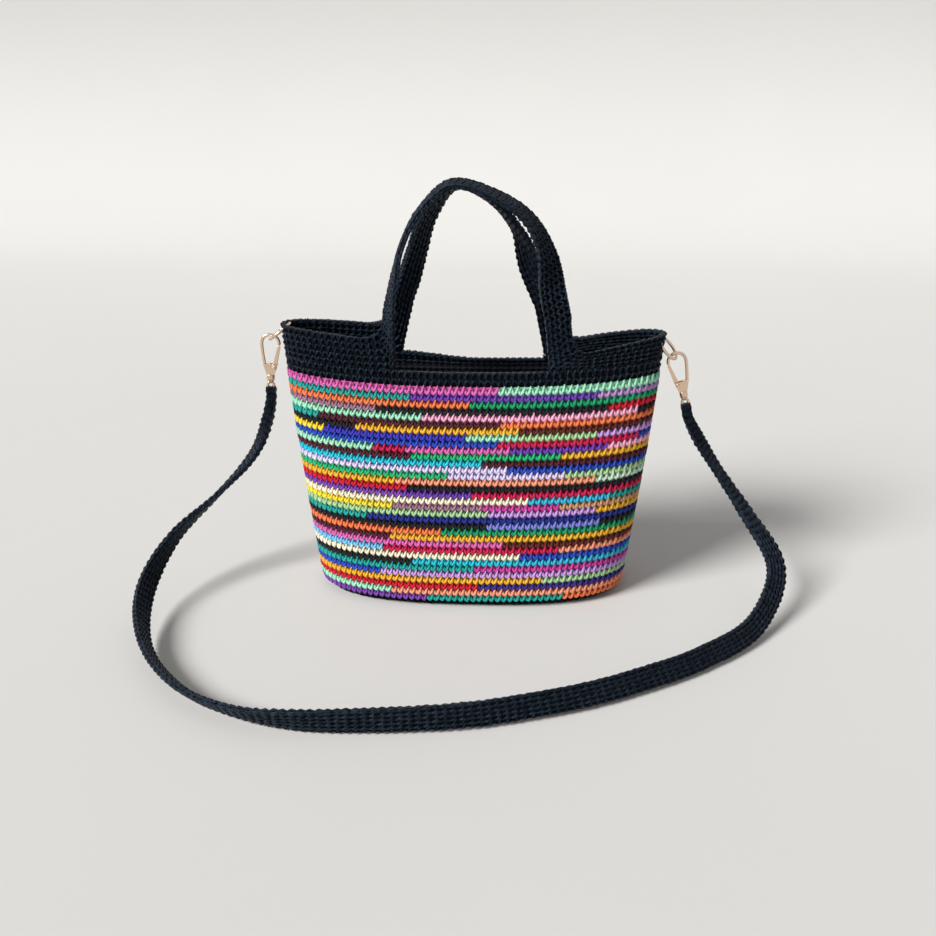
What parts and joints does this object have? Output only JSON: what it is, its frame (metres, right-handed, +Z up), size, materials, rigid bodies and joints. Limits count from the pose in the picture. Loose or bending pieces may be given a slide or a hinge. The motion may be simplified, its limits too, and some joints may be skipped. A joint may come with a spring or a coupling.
{
  "type": "crocheted shoulder bag",
  "caption": "Crocheted shoulder bag: striped oval body on a flat base, plain top band running on into short handles, and a long strap clipped by snap hooks to side rings.",
  "frame": {"origin": "middle of the base's underside, on the ground the bag stands on", "axes": "+X along the bag's width towards the right-hand ring as seen from the front, -Y out of the front, +Z up"},
  "size_m": [0.4655, 0.2441, 0.296],
  "materials": {
    "black_yarn": "crocheted polyester cord, slight sheen",
    "mixed_yarn": "crocheted yarn in thin stripes of many colours",
    "rose_gold": "polished pale rose-gold plating",
    "spring_steel": "bare spring strip"
  },
  "bodies": {
    "bag": {"oval_base": "black_yarn", "striped_body": "mixed_yarn", "band_and_handles": "black_yarn", "strap": "black_yarn", "swivel_bail_left": "rose_gold", "swivel_bail_right": "rose_gold"},
    "ring_left": {"side_ring_left": "rose_gold"},
    "ring_right": {"side_ring_right": "rose_gold"},
    "hook_left": {"snap_hook_left": "rose_gold", "gate_pin_left": "rose_gold", "gate_spring_left": "spring_steel"},
    "hook_right": {"snap_hook_right": "rose_gold", "gate_pin_right": "rose_gold", "gate_spring_right": "spring_steel"},
    "gate_left": {"hook_gate_left": "rose_gold"},
    "gate_right": {"hook_gate_right": "rose_gold"}
  },
  "joints": [
    {"name": "ring_left_swing", "type": "hinge", "parent": "bag", "child": "ring_left", "pos_m": [-0.1325, 0, 0.1948], "axis": [0, -1, 0], "range_deg": [0, 6]},
    {"name": "ring_right_swing", "type": "hinge", "parent": "bag", "child": "ring_right", "pos_m": [0.13197, 0, 0.1875], "axis": [0.2223, 0.9511, 0.2147], "range_deg": [0, 6]},
    {"name": "hook_left_swivel", "type": "hinge", "parent": "bag", "child": "hook_left", "pos_m": [-0.14296, 0, 0.18692], "axis": [0.0785, 0, 0.9969], "range_deg": [-25, 25]},
    {"name": "hook_right_swivel", "type": "hinge", "parent": "bag", "child": "hook_right", "pos_m": [0.14281, 0, 0.17628], "axis": [-0.2756, 0, 0.9613], "range_deg": [-25, 12]},
    {"name": "gate_left_open", "type": "hinge", "parent": "hook_left", "child": "gate_left", "pos_m": [-0.14166, 0, 0.16655], "axis": [0, -1, 0], "range_deg": [0, 20], "stiffness_Nm_per_rad": 0.002, "springref_deg": -17.19},
    {"name": "gate_right_open", "type": "hinge", "parent": "hook_right", "child": "gate_right", "pos_m": [0.14559, 0, 0.15606], "axis": [0, 1, 0], "range_deg": [0, 20], "stiffness_Nm_per_rad": 0.002, "springref_deg": -17.19}
  ]
}
